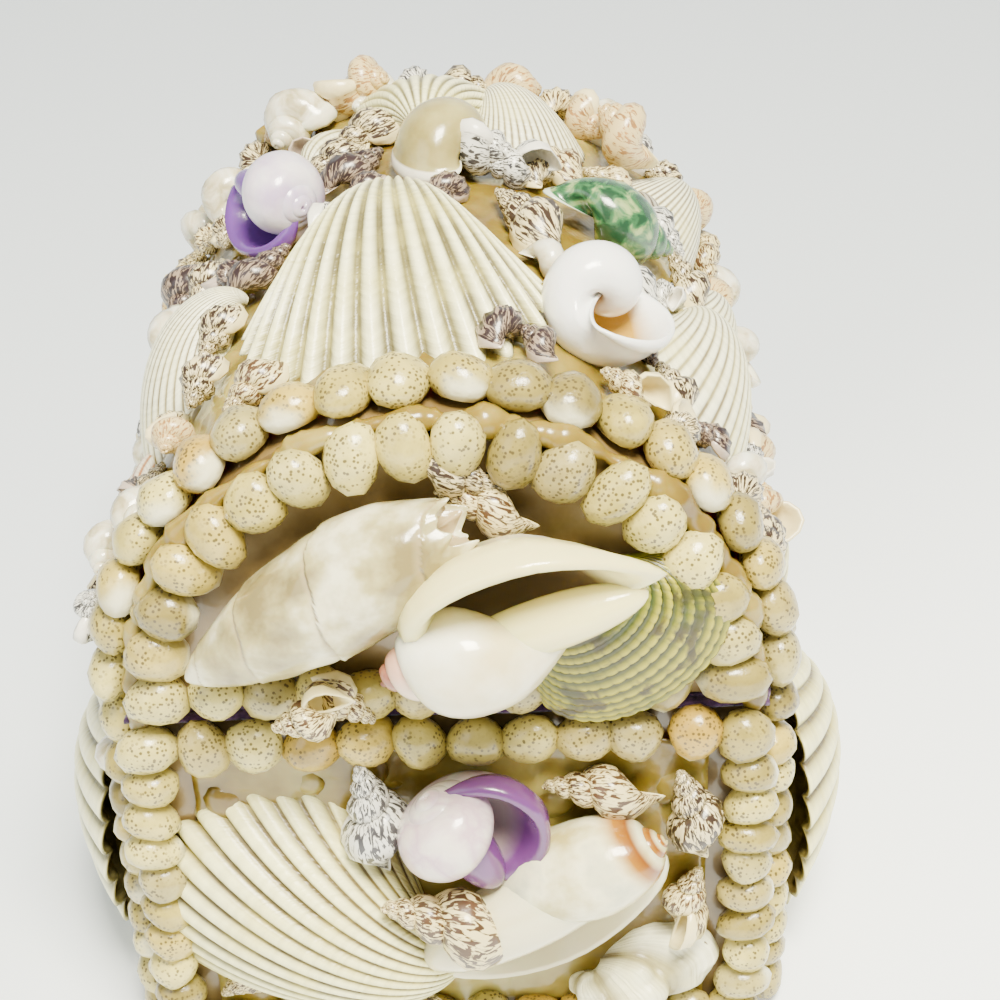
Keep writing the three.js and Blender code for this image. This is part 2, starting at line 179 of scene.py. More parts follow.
MM = 0.001  # the sections give sizes in millimetres
body_low, body_high = (Vector(corner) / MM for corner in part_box("box_body"))
lid_low, lid_high = (Vector(corner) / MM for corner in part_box("barrel_lid"))
lid_radius = lid_high.x
barrel_axis = lid_high.z - lid_radius  # height of the centre line of the lid's half-round


def add_noise(shader, scale, detail, distortion=0.0, place=None):
    """A noise texture that is fixed to the piece, or to another place that is given for it."""
    tree = shader.id_data
    place = place or tree.nodes.new("ShaderNodeTexCoord").outputs["Object"]
    pattern = tree.nodes.new("ShaderNodeTexNoise")
    pattern.inputs["Scale"].default_value = scale
    pattern.inputs["Detail"].default_value = detail
    pattern.inputs["Distortion"].default_value = distortion
    tree.links.new(place, pattern.inputs["Vector"])
    return pattern.outputs["Fac"]


def add_bump(shader, height, depth):
    """A bump, with its depth in millimetres, on top of any bump that is there already."""
    bump = shader.id_data.nodes.new("ShaderNodeBump")
    bump.inputs["Distance"].default_value = depth * MM
    links = shader.id_data.links
    links.new(height, bump.inputs["Height"])
    if shader.inputs["Normal"].is_linked:
        links.new(shader.inputs["Normal"].links[0].from_socket, bump.inputs["Normal"])
    links.new(bump.outputs["Normal"], shader.inputs["Normal"])


def add_grain(shader, scale, detail, depth):
    """A bump that follows a noise of its own."""
    add_bump(shader, add_noise(shader, scale, detail), depth)


def glued_board_material():
    material, shader = plain_shader("glued_board", (0.4, 0.3, 0.12), 0.35, Coat_Weight=0.5)
    # These ochres are darkened past the boards' own tone as painted shade in the gaps between the shells.
    ochres_and_painted_shade = [(0.3, (0.1, 0.06, 0.015)), (0.7, (0.3, 0.2, 0.07))]
    paint(shader, add_ramp(shader, add_noise(shader, 60, 5), ochres_and_painted_shade))
    add_grain(shader, 180, 3, 0.4)
    return material


def finish_nodes(nodes, material):
    """Gives CAD nodes that are shown as they are a material."""
    for node in nodes:
        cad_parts[node].data.materials.clear()
        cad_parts[node].data.materials.append(material)


finish_nodes(("box_body", "barrel_lid"), glued_board_material())


# ---- Felt linings ----
# Plum felt stuck inside the body and the lid, turned out over the body's rim.
# Its cut edge is wavy, and stands a little proud of the boards under the lid.


def felt_material():
    material, shader = plain_shader("plum_felt", (0.06, 0.02, 0.08), 0.95, Sheen_Weight=0.4)
    fuzz = add_noise(shader, 900, 4)
    paint(shader, add_ramp(shader, fuzz, [(0.3, (0.035, 0.012, 0.05)), (0.7, (0.12, 0.05, 0.15))]))
    add_bump(shader, fuzz, 0.5)
    return material


plum_felt = felt_material()
finish_nodes(("body_felt", "lid_felt"), plum_felt)


def add_piece(name, mesh_in_mm, material, nodes=()):
    """Makes a piece from a mesh in millimetres, in the place of the CAD nodes that it stands for."""
    for vert in mesh_in_mm.verts:
        vert.co.z = max(vert.co.z, 0.0)  # nothing goes below the table
    mesh_in_mm.transform(Matrix.Scale(MM, 4))
    piece = new_object(name, mesh_in_mm, material)
    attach(piece, "root")
    if nodes:
        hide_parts(*nodes)


def felt_edge():
    edge = bmesh.new()
    half_x, half_y = body_high.x, body_high.y
    proud = 1.5
    level = lid_low.z - 0.75
    bmesh.ops.create_grid(edge, x_segments=120, y_segments=120, size=1.0)
    for vert in edge.verts:
        vert.co = (vert.co.x * (half_x + proud), vert.co.y * (half_y + proud), level)
    hidden = 2  # how far the strip reaches in under the lid
    inside = []
    for face in edge.faces:
        middle = face.calc_center_median()
        if abs(middle.x) < half_x - hidden and abs(middle.y) < half_y - hidden:
            inside.append(face)
    bmesh.ops.delete(edge, geom=inside, context="FACES")
    for vert in edge.verts:
        over = max(abs(vert.co.x) - half_x, abs(vert.co.y) - half_y, 0) / proud
        wave = noise.noise(vert.co * 0.09) + 0.5 * noise.noise(vert.co * 0.3)
        vert.co.x *= 1 + 0.022 * over * wave
        vert.co.y *= 1 + 0.018 * over * wave
        vert.co.z += over * (0.5 * wave - 0.4)
    bmesh.ops.solidify(edge, geom=edge.faces[:], thickness=0.55)
    return edge


add_piece("felt_edge", felt_edge(), plum_felt)


# ---- Border rows of button shells ----
# Small round nerites, glued side by side along the rim, the foot, the corners and the arch of the lid.
# They are glossy cream with fine dark specks, and no two sit quite the same way.

BUTTON = 8.6  # across a row
ARCH_BUTTON = 9.6  # across the two rows round the arch
BUTTON_HEIGHT = 6.6
END_PITCH = 7.9
SIDE_PITCH = 8.3
END_SILL_PITCH = 7.1
SIDE_SILL_PITCH = 8.0
COLUMN_PITCH = 6.0
EDGE_TO_ROW = 3.9  # from the edge of a board to the middle of its row


def face_frame(face, u, v):
    """The place of a point on a face of the box: u runs right and v up, seen from outside, in millimetres.
    On the barrel, u is the angle in degrees from the crown towards +X, and v runs along +Y."""
    if face == "barrel":
        angle = radians(u)
        place = Vector((lid_radius * sin(angle), v, barrel_axis + lid_radius * cos(angle)))
        right, up = Vector((cos(angle), 0, -sin(angle))), Vector((0, 1, 0))
    else:
        place, right = {
            "front": (Vector((u, body_low.y, v)), Vector((1, 0, 0))),
            "back": (Vector((-u, body_high.y, v)), Vector((-1, 0, 0))),
            "left": (Vector((body_low.x, -u, v)), Vector((0, -1, 0))),
            "right": (Vector((body_high.x, u, v)), Vector((0, 1, 0))),
        }[face]
        up = Vector((0, 0, 1))
    out = right.cross(up)
    return Matrix.Translation(place) @ Matrix((right, up, out)).transposed().to_4x4()


PATTERN_VALUES = ("turn", "around", "rib", "tint")


def new_shell_mesh():
    """An empty mesh with the values that the shells' patterns follow."""
    mesh = bmesh.new()
    for name in PATTERN_VALUES:
        mesh.verts.layers.float.new(name)
    return mesh


def pattern_values(mesh):
    return [mesh.verts.layers.float[name] for name in PATTERN_VALUES]


def lay_button(row, place, along, across, height, seed):
    """Adds one button shell: a low dome with a small coil near one end and a rim that draws in below."""
    turn, _, rib, tint = pattern_values(row)
    luck = Random(seed)
    spin = luck.uniform(0, tau)
    verts = bmesh.ops.create_uvsphere(row, u_segments=12, v_segments=8, radius=1.0)["verts"]
    shade = luck.random()
    lip = luck.choice([0, 0, 1])
    for vert in verts:
        x, y, z = vert.co
        bulge = 1 + 0.1 * sin(2 * (x * 1.3 + spin)) - 0.08 * cos(3 * (y + spin))
        coil = exp(-6 * ((x - 0.45 * cos(spin)) ** 2 + (y - 0.45 * sin(spin)) ** 2))
        vert.co = (
            0.5 * along * x * bulge,
            0.5 * across * y * bulge,
            0.5 * height * (max(z, -0.8) * (1 - 0.12 * y * sin(spin)) + 0.16 * coil * (z > 0)),
        )
        vert[tint] = shade
        vert[turn] = coil
        vert[rib] = lip * min(max(-4 * y - 2.6 - 1.2 * z, 0.0), 1.0)
    rock, nod, twist = luck.uniform(-0.22, 0.22), luck.uniform(-0.22, 0.22), luck.uniform(-0.5, 0.5)
    tilt = Matrix.Rotation(rock, 4, "X") @ Matrix.Rotation(nod, 4, "Y")
    jog = Matrix.Rotation(twist, 4, "Z") @ tilt
    lift = Matrix.Translation((luck.uniform(-0.3, 0.3), luck.uniform(-0.3, 0.3), 0.47 * height))
    bmesh.ops.transform(row, matrix=place @ lift @ jog, verts=verts)


def value_of(shader, name):
    """A value that the piece's mesh carries."""
    attribute = shader.id_data.nodes.new("ShaderNodeAttribute")
    attribute.attribute_name = name
    return attribute.outputs["Fac"]


def mix_colors(shader, factor, first, second, blend="MIX"):
    """Mixes two colours or colour outputs by a value or an output."""
    mix = shader.id_data.nodes.new("ShaderNodeMix")
    mix.data_type = "RGBA"
    mix.blend_type = blend
    for index, source in ((0, factor), (6, first), (7, second)):
        if isinstance(source, bpy.types.NodeSocket):
            shader.id_data.links.new(source, mix.inputs[index])
        elif index == 0:
            mix.inputs[index].default_value = source
        else:
            mix.inputs[index].default_value = (*source, 1)
    return mix.outputs[2]


def add_dots(shader, scale):
    """How far each spot is from the nearest of many scattered points."""
    tree = shader.id_data
    dots = tree.nodes.new("ShaderNodeTexVoronoi")
    dots.inputs["Scale"].default_value = scale
    tree.links.new(tree.nodes.new("ShaderNodeTexCoord").outputs["Object"], dots.inputs["Vector"])
    return dots.outputs["Distance"]


def button_material():
    material, shader = plain_shader(
        "button_shell", (0.6, 0.5, 0.3), 0.28, Coat_Weight=0.35, Coat_Roughness=0.15
    )
    tints = [
        (0.0, (0.22, 0.17, 0.04)), (0.25, (0.44, 0.35, 0.08)), (0.5, (0.68, 0.58, 0.18)),
        (0.75, (0.34, 0.28, 0.1)), (0.9, (0.54, 0.41, 0.08)), (1.0, (0.44, 0.27, 0.03)),
    ]
    base = add_ramp(shader, value_of(shader, "tint"), tints)
    cloud_stops = [(0.35, (0.8, 0.79, 0.74)), (0.65, (1.1, 1.1, 1.08))]
    cloud = add_ramp(shader, add_noise(shader, 260, 3), cloud_stops)
    clouded = mix_colors(shader, 1.0, base, cloud, "MULTIPLY")
    patch = add_ramp(shader, add_noise(shader, 170, 2), [(0.38, 0.1), (0.5, 1)])
    speck = add_ramp(shader, add_dots(shader, 1500), [(0.28, 0.85), (0.4, 0)])
    dotted = mix_colors(shader, 1.0, speck, patch, "MULTIPLY")
    dotted_shell = mix_colors(shader, dotted, clouded, (0.06, 0.04, 0.012))
    paint(shader, mix_colors(shader, value_of(shader, "rib"), dotted_shell, (0.8, 0.76, 0.5)))
    add_grain(shader, 1300, 2, 0.1)
    return material


button_shell = button_material()


def row_of(name, nodes, beads):
    """One row; beads is a list of (place, along, across)."""
    row = new_shell_mesh()
    for index, (place, along, across) in enumerate(beads):
        lay_button(row, place, along, across, BUTTON_HEIGHT, f"{name}{index}")
    add_piece(name, row, button_shell, nodes)


def straight_beads(face, u, v, turn, count, pitch, across=BUTTON):
    """Beads in a straight line centred on (u, v), turned from the face's right-hand direction."""
    middle = face_frame(face, u, v) @ Matrix.Rotation(radians(turn), 4, "Z")
    steps = [Matrix.Translation(((index + 0.5 - count / 2) * pitch, 0, 0)) for index in range(count)]
    return [(middle @ step, 1.1 * pitch, across) for step in steps]


def arch_beads(side, radius, count, inset=0.0):
    """Beads round the arch of the lid, flat on an end board or, given an inset, on the barrel's edge."""
    sweep = pi + 2 * (barrel_axis - lid_low.z - 0.6) / radius
    beads = []
    for index in range(count):
        angle = sweep * ((index + 0.5) / count - 0.5)
        out = Vector((sin(angle), 0, cos(angle)))
        along = -side * Vector((cos(angle), 0, -sin(angle)))
        forward = Vector((0, side, 0))
        place = Vector((0, side * body_high.y, barrel_axis))
        place += out * lid_radius + forward * inset if inset else out * radius
        axes = (along, -forward, out) if inset else (along, out, forward)
        pose = Matrix.Translation(place) @ Matrix(axes).transposed().to_4x4()
        beads.append((pose, 1.12 * radius * sweep / count, ARCH_BUTTON))
    return beads


rim_level = body_high.z - EDGE_TO_ROW
sill_level = lid_low.z + EDGE_TO_ROW
foot_level = 4.1


def level_row(face, name, node, level, count, pitch, across=BUTTON):
    """A row straight along a face, in the place of the CAD's row if there is one."""
    nodes = [f"{face}_{node}_row"] if node else []
    row_of(f"{face}_{name}", nodes, straight_beads(face, 0, level, 0, count, pitch, across))


for end, side in (("front", -1), ("back", 1)):
    row_of(f"{end}_arch", [f"{end}_arch_row"], arch_beads(side, lid_radius - 3.8, 18))
    if end == "front":
        row_of("front_edge", ["front_edge_row"], arch_beads(side, lid_radius + 3.2, 20, -3.6))
    level_row(end, "rim", "rim", rim_level, 12, END_PITCH)
    level_row(end, "foot", "base", foot_level, 12, END_PITCH)
level_row("front", "sill", "sill", sill_level, 10, END_SILL_PITCH)
level_row("back", "sill", None, sill_level, 10, END_SILL_PITCH)
for side in ("left", "right"):
    level_row(side, "rim", "rim", rim_level, 13, SIDE_PITCH)
    level_row(side, "foot", "base", foot_level, 13, SIDE_PITCH)
    level_row(side, "sill", None, sill_level, 12, SIDE_SILL_PITCH, 7.2)
for end, end_sign in (("front", -1), ("back", 1)):
    for side, side_sign in (("left", -1), ("right", 1)):
        middle = (rim_level + foot_level) / 2
        end_u = -end_sign * side_sign * (body_high.x - 0.9)
        side_u = end_sign * side_sign * (body_high.y - 3.6)
        beads = straight_beads(end, end_u, middle, 90, 8, COLUMN_PITCH)
        beads += straight_beads(side, side_u, middle, 90, 8, COLUMN_PITCH)
        row_of(f"{end}_{side}_columns", [f"{end}_{side}_corner"], beads)


# ---- Ribbed valves: cockles, clams and arks ----
# Single valves of bivalves, glued hollow side down. Each one grew outward from its umbo,
# so its ribs fan out from there and end in a scalloped margin.

VALVE_WALL = 1.1


def only(kind, items):
    return [item for item in items if isinstance(item, kind)]


def grow_valve(length, width, ribs, columns, rows, dome, rib_height, groove, rings=0):
    """A valve with its umbo at -X, its margin towards +X and its hollow down on z = 0, centred on the origin.
    Given rings, it has beaded cords that run with the margin as well."""
    valve = new_shell_mesh()
    turn, around, rib, _ = pattern_values(valve)
    bmesh.ops.create_grid(valve, x_segments=columns, y_segments=rows, size=0.5)
    behind = 0.1 * length  # the coil starts a little behind the hinge
    for vert in valve.verts:
        across, grown = vert.co.x + 0.5, vert.co.y + 0.5
        coil = 3.0 * (1 - grown) ** 1.35
        size = exp(-dome * coil)
        x = behind + (length - behind) * (1 - cos(tau * across)) / 2
        y = width / 2 * sin(tau * across) * (1 - 0.12 * cos(tau * across))
        wave = abs(sin(pi * ribs * across)) ** groove
        fade = min(max((x - behind) / (0.18 * length) - 0.25, 0.0), 1.0)
        ring = abs(sin(pi * rings * grown)) ** 0.7 if rings else 1.0
        wave = ring * (0.84 + 0.16 * wave) if rings else wave
        swell = size * (1 + rib_height * (wave - 1) * fade)
        vert.co = (x * cos(coil) * swell - length / 2, y * swell, x * sin(coil) * swell)
        vert[around] = across
        vert[turn] = grown
        vert[rib] = 1 - (1 - wave) * fade
    bmesh.ops.remove_doubles(valve, verts=valve.verts, dist=1e-5 * length)
    umbo = [vert for vert in valve.verts if vert[turn] < 1e-5]
    tip = sum((vert.co for vert in umbo), Vector()) / len(umbo)
    bmesh.ops.pointmerge(valve, verts=umbo, merge_co=tip)
    bmesh.ops.recalc_face_normals(valve, faces=valve.faces)
    top = max(valve.faces, key=lambda face: face.calc_center_median().z)
    if top.normal.z < 0:
        bmesh.ops.reverse_faces(valve, faces=valve.faces)
    # The inner wall is the same form made smaller, joined to the outer one round the margin.
    height = max(vert.co.z for vert in valve.verts)
    margin = [edge for edge in valve.edges if edge.is_boundary]
    inner = bmesh.ops.duplicate(valve, geom=valve.verts[:] + valve.edges[:] + valve.faces[:])["geom"]
    inner_verts = only(bmesh.types.BMVert, inner)
    for vert in inner_verts:
        vert[rib] = 0.0
    smaller = (1 - 2 * VALVE_WALL / length, 1 - 2 * VALVE_WALL / width, 1 - 1.3 * VALVE_WALL / height, 1)
    bmesh.ops.transform(valve, matrix=Matrix.Diagonal(smaller), verts=inner_verts)
    bmesh.ops.reverse_faces(valve, faces=only(bmesh.types.BMFace, inner))
    inner_margin = [edge for edge in only(bmesh.types.BMEdge, inner) if edge.is_boundary]
    bmesh.ops.bridge_loops(valve, edges=margin + inner_margin)
    bmesh.ops.recalc_face_normals(valve, faces=valve.faces)
    return valve


def lay_shell(shell, face, u, v, turn, rise, lift=0):
    """Lays a grown shell on a face, turned about the face's normal, raised, and lifted at its far end."""
    place = (
        face_frame(face, u, v)
        @ Matrix.Translation((0, 0, rise))
        @ Matrix.Rotation(radians(turn), 4, "Z")
        @ Matrix.Rotation(radians(-lift), 4, "Y")
    )
    shell.transform(place)
    return shell


def valve_material(name, crest, groove, stain):
    """Chalky ribs, grooves between them that are darker partly in their own brown-grey and partly as painted
    shade, and faint growth lines across.
    """
    material, shader = plain_shader(name, crest, 0.38, Coat_Weight=0.2, Coat_Roughness=0.2)
    # The groove colour is partly the shell's own and partly painted shade in the creases between the ribs; it
    # also colours the hollow inside.
    ribbed_with_groove_shade = add_ramp(shader, value_of(shader, "rib"), [(0.3, groove), (0.9, crest)])
    grime = add_ramp(shader, add_noise(shader, 120, 4), [(0.45, 0), (0.75, 0.55)])
    stained = mix_colors(shader, grime, ribbed_with_groove_shade, stain)
    lines = shader.id_data.nodes.new("ShaderNodeTexNoise")
    lines.noise_dimensions = "1D"
    lines.inputs["Scale"].default_value = 60
    lines.inputs["Detail"].default_value = 2
    shader.id_data.links.new(value_of(shader, "turn"), lines.inputs["W"])
    faint = add_ramp(shader, lines.outputs["Fac"], [(0.35, (0.82, 0.81, 0.78)), (0.6, (1.04, 1.04, 1.03))])
    lined = mix_colors(shader, 1.0, stained, faint, "MULTIPLY")
    paint(shader, mix_colors(shader, 0.5, stained, lined))
    add_bump(shader, lines.outputs["Fac"], 0.25)
    add_grain(shader, 900, 2, 0.08)
    return material


chalk_ribs = valve_material("chalk_ribs", (0.93, 0.9, 0.54), (0.14, 0.12, 0.045), (0.68, 0.62, 0.2))
ark_ribs = valve_material("ark_ribs", (0.93, 0.89, 0.45), (0.15, 0.11, 0.03), (0.74, 0.64, 0.17))
white_lines = valve_material("white_lines", (0.93, 0.91, 0.64), (0.22, 0.18, 0.09), (0.78, 0.72, 0.32))

valves = [
    # name, length, width, ribs, dome, rib height, groove, material, place
    ("big_cockle", 42, 45, 30, 0.95, 0.075, 1.2, chalk_ribs, ("barrel", -7, -26, -90, 0.6, -6)),
    ("front_ark", 47, 40, 30, 1.0, 0.05, 0.6, ark_ribs, ("front", -23.5, 28.5, 156, 0.6)),
    ("left_cockle", 32, 27, 34, 1.1, 0.02, 0.6, white_lines, ("barrel", -57, -12, -168, 0)),
    ("right_cockle", 32, 27, 34, 1.1, 0.02, 0.6, white_lines, ("barrel", 58, -15, -80, 0)),
    ("fine_clam", 23, 20, 44, 1.1, 0.01, 0.8, white_lines, ("barrel", 17, 36, -60, 1.5)),
    ("crown_cockle", 21, 24, 20, 1.0, 0.06, 0.8, chalk_ribs, ("barrel", -3, 41, 90, 3)),
    ("smooth_clam", 26, 20, 50, 1.1, 0.003, 1.0, white_lines, ("barrel", 53, 36, -100, 0.5)),
    ("lined_cockle", 22, 20, 34, 1.1, 0.015, 0.6, white_lines, ("barrel", 67, 13, -90, 0.5)),
    ("left_front_ark", 44, 48, 26, 0.8, 0.06, 0.7, chalk_ribs, ("left", 28, 30, 0, 3, 19)),
    ("left_back_ark", 42, 45, 26, 0.8, 0.035, 0.5, chalk_ribs, ("left", -22, 32, 0, 0)),
    ("right_front_ark", 44, 48, 26, 0.8, 0.06, 0.7, ark_ribs, ("right", -28, 31, 180, 3, 19)),
    ("right_back_ark", 42, 45, 26, 0.8, 0.035, 0.5, ark_ribs, ("right", 22, 32, 180, 0)),
    ("back_cockle", 40, 44, 24, 0.95, 0.04, 0.7, chalk_ribs, ("back", 0, 31, 90, 0)),
    ("back_lid_cockle", 26, 36, 24, 1.0, 0.03, 0.7, white_lines, ("back", 0, 88, 90, 0)),
]
for name, length, width, ribs, dome, rib_height, groove, material, place in valves:
    rows = 44 if length > 30 else 26
    valve = grow_valve(length, width, ribs, 7 * ribs, rows, dome, rib_height, groove)
    add_piece(name, lay_shell(valve, *place), material, [name])


# ---- Coiled snails and whelks ----
# A snail's mouth grows as it winds round its axis, so every whorl is the last one made larger.
# Whelks keep a rib for each pause in growth, and a rim that is thick and smooth.

FLARING = 0.14  # the share of a turn, before the mouth, in which the lip flares


def grow_snail(turns, growth, reach, tall, sides, steps, canal, lip=0.08, ribs=0, rib_height=0.0, cords=0,
               shoulder=0.0, flare=0.0, pillar=0.0, full=0.0):
    """A snail with its axis along X and its apex at -X; its mouth opens towards +Z on the +Y side.
    reach is how far the mouth's middle is from the apex, when it is 0.5 from the axis, and full, from 0 to 1,
    turns a round tube into one that is flat against the axis. The value rib is
    0 inside the mouth, 0.1 on its lip and from 0.2 up on the outside."""
    snail = new_shell_mesh()
    turn, around, rib, _ = pattern_values(snail)

    def settle(verts, wound, size, skin):
        grown = growth**wound
        winding = tau * wound
        pause = 0.5 + 0.5 * cos(ribs * winding) if ribs else 0.0
        for vert in verts:
            facing = tau * (vert[around] - 0.5)
            outward, onward = cos(facing), sin(facing)
            ridge = rib_height * pause * max(0.0, outward)
            cord = 0.03 * (0.5 + 0.5 * cos(cords * facing)) * max(0.0, outward) if cords else 0.0
            radius = 0.5 + 0.5 * outward * size * (1 + shoulder * max(0.0, -onward) * outward)
            radius += full * (0.03 + 0.94 * size * max(0.0, outward) ** 0.8 - radius)
            radius *= 1 - canal * max(0.0, onward) ** 1.6
            radius *= 1 + ridge + cord
            if wound > -FLARING:
                spread = 0.5 - 0.5 * cos(pi * min(1.0, 1 + wound / FLARING))
                radius += flare * spread * max(0.0, outward) * (0.75 + 0.5 * onward)
            axial = reach + tall * onward * size
            vert.co = Vector((axial, radius * cos(winding), radius * sin(winding))) * grown
            vert[turn] = 1 + wound / turns
            vert[rib] = 0.2 + 0.8 * pause if skin == 1.0 else 0.1 * skin

    ring = bmesh.ops.create_circle(snail, segments=sides, radius=1.0)["verts"]
    for vert in ring:
        vert[around] = 0.5 - vert.co.to_2d().angle_signed(Vector((1, 0))) / tau
    settle(ring, -turns, 1.0, 1.0)
    edges = snail.edges[:]
    bmesh.ops.edgeloop_fill(snail, edges=edges)
    count = int(turns * steps)
    path = [(-turns * (1 - (index + 1) / count), 1.0, 1.0) for index in range(count)]
    for forward, out in ((0.1, 0.6), (0.3, 1.0), (0.5, 0.8), (0.6, 0.2), (0.5, -0.5), (0.2, -1.1)):
        path.append((forward * lip, 1 + out * lip, 0.9))
    path += [(-back, throat - 1.6 * lip, 0.0) for back, throat in ((0.06, 0.99), (0.16, 0.97), (0.34, 0.94))]
    for wound, size, skin in path:
        fresh = bmesh.ops.extrude_edge_only(snail, edges=edges)["geom"]
        verts = set(only(bmesh.types.BMVert, fresh))
        settle(verts, wound, size, skin)
        edges = [edge for edge in only(bmesh.types.BMEdge, fresh) if verts.issuperset(edge.verts)]
    bmesh.ops.edgeloop_fill(snail, edges=edges)
    bmesh.ops.recalc_face_normals(snail, faces=snail.faces)
    if pillar:
        core = bmesh.ops.create_uvsphere(snail, u_segments=24, v_segments=16, radius=1.0)["verts"]
        for vert in core:
            height = vert.co.z
            vert.co = (reach + 0.1 + 0.98 * tall * height, pillar * vert.co.x, pillar * vert.co.y)
            vert[rib] = 0.1
    return snail


def fit_shell(shell, length, width, roll):
    """Rolls a grown shell about its axis, makes it this long and wide, and rests it on z = 0, centred."""
    shell.transform(Matrix.Rotation(radians(roll), 4, "X"))
    spans = []
    for axis in range(3):
        reach = [vert.co[axis] for vert in shell.verts]
        spans.append((min(reach), max(reach)))
    sizes = (length, width, width * (spans[2][1] - spans[2][0]) / (spans[1][1] - spans[1][0]))
    factors = [size / (high - low) for size, (low, high) in zip(sizes, spans)]
    middle = Vector([(low + high) / 2 for low, high in spans])
    for vert in shell.verts:
        vert.co = [(vert.co[axis] - middle[axis]) * factors[axis] for axis in range(3)]
        vert.co.z += sizes[2] / 2
    return shell


def whelk_material(name, base, dark, mouth, cover):
    """Cream shell with broken dark dashes that follow its whorls, and a plain mouth."""
    material, shader = plain_shader(name, base, 0.32, Coat_Weight=0.3, Coat_Roughness=0.15)
    tree = shader.id_data
    where = tree.nodes.new("ShaderNodeCombineXYZ")
    for axis, (value, stretch) in enumerate((("turn", 85.0), ("around", 5.5), ("tint", 1.0))):
        stretched = tree.nodes.new("ShaderNodeMath")
        stretched.operation = "MULTIPLY"
        stretched.inputs[1].default_value = stretch
        tree.links.new(value_of(shader, value), stretched.inputs[0])
        tree.links.new(stretched.outputs[0], where.inputs[axis])
    edge = 0.62 - 0.16 * cover
    dashes = add_noise(shader, 2.1, 3, 0.9, where.outputs[0])
    mask = add_ramp(shader, dashes, [(edge, 0), (edge + 0.05, 1)])
    worn = tuple(2.2 * part for part in dark)
    tone = add_ramp(shader, add_noise(shader, 300, 3), [(0.3, dark), (0.7, worn)])
    outside = mix_colors(shader, mask, base, tone)
    inside = add_ramp(shader, value_of(shader, "rib"), [(0.1, 1), (0.19, 0)])
    paint(shader, mix_colors(shader, inside, outside, mouth))
    add_grain(shader, 800, 2, 0.1)
    return material


freckled = whelk_material("freckled_whelk", (0.72, 0.6, 0.32), (0.02, 0.011, 0.006), (0.82, 0.7, 0.36), 0.95)
sandy = whelk_material("sandy_whelk", (0.76, 0.63, 0.3), (0.045, 0.022, 0.009), (0.84, 0.72, 0.36), 0.85)
slate = whelk_material("slate_whelk", (0.72, 0.7, 0.62), (0.025, 0.023, 0.024), (0.8, 0.76, 0.66), 0.8)


def add_mesh(target, fresh):
    """Moves one mesh into another."""
    laid = bpy.data.meshes.new("laid")
    fresh.to_mesh(laid)
    fresh.free()
    target.from_mesh(laid)
    bpy.data.meshes.remove(laid)


def lay_snail(target, shell, length, width, roll, tint, place):
    """Adds a fitted copy of a grown shell to a piece."""
    fresh = shell.copy()
    for vert in fresh.verts:
        vert[fresh.verts.layers.float["tint"]] = tint
    fit_shell(fresh, length, width, roll)
    add_mesh(target, lay_shell(fresh, *place))


whelk = grow_snail(4.2, 1.62, 2.35, 0.78, 14, 30, 0.55, 0.12, ribs=13, rib_height=0.12, cords=7, full=0.25)
whelks = [
    # name, length, width, roll, material, place
    ("whelk_over_cerith", 15.5, 8, 180, sandy, ("front", 7, 100, -22, 0.5)),
    ("whelk_under_cerith", 13, 9, 0, sandy, ("front", -18, 72.5, 18, 7)),
    ("grey_whelk", 21, 11.5, 180, slate, ("front", -11.5, 48, -78, 1.5)),
    ("front_whelk", 24, 13, 180, sandy, ("front", 0.5, 33, -18, 8)),
    ("upper_whelk", 18.5, 9.5, 180, sandy, ("front", 22.5, 50.5, -7, 0.5)),
    ("edge_whelk", 18, 9.5, 180, freckled, ("front", 35.5, 46, -73, 1)),
    ("lower_edge_whelk", 16, 8, 60, sandy, ("front", 35, 28, -107, 0.5)),
    ("foot_whelk", 15, 7.5, 180, freckled, ("front", -6, 12.5, 6, 6)),
    ("speckled_whelk", 21, 10, 180, freckled, ("barrel", 17, -2, -56, 0.2)),
    ("grey_barrel_whelk", 14, 8, 90, slate, ("barrel", 15, 17, 10, 0.6)),
    ("right_whelk", 18, 8, 180, freckled, ("barrel", 80, -30, -90, 0.2)),
]
for index, (name, length, width, roll, material, place) in enumerate(whelks):
    piece = new_shell_mesh()
    lay_snail(piece, whelk, length, width, roll, 3.7 * index, place)
    add_piece(name, piece, material, [name])


# ---- Conches and moon snails ----
# The large glossy snails that fill the show end and the front of the barrel.
# Their lips are thick and have a colour of their own. Each is glued down on its back or its side.


def glossy_material(name, stops, scale, lip, mouth, marks=(), distortion=0.0):
    """Smooth porcelain-like shell, clouded, with a coloured lip and mouth.
    marks are (value, colour stops with an alpha) that lie over the outside."""
    material, shader = plain_shader(
        name, stops[0][1], 0.24, Coat_Weight=0.5, Coat_Roughness=0.1, Subsurface_Weight=0.1,
        Subsurface_Scale=0.002,
    )
    outside = add_ramp(shader, add_noise(shader, scale, 4, distortion=distortion), stops)
    for value, colors in marks:
        ramp = add_ramp(shader, value_of(shader, value), colors)
        outside = mix_colors(shader, ramp.node.outputs["Alpha"], outside, ramp)
    skin = value_of(shader, "rib")
    opening = add_ramp(shader, skin, [(0.0, mouth), (0.085, lip)])
    over = add_ramp(shader, skin, [(0.105, 1), (0.17, 0)])
    paint(shader, mix_colors(shader, over, outside, opening))
    add_grain(shader, 90, 3, 0.5)
    add_grain(shader, 600, 3, 0.08)
    return material


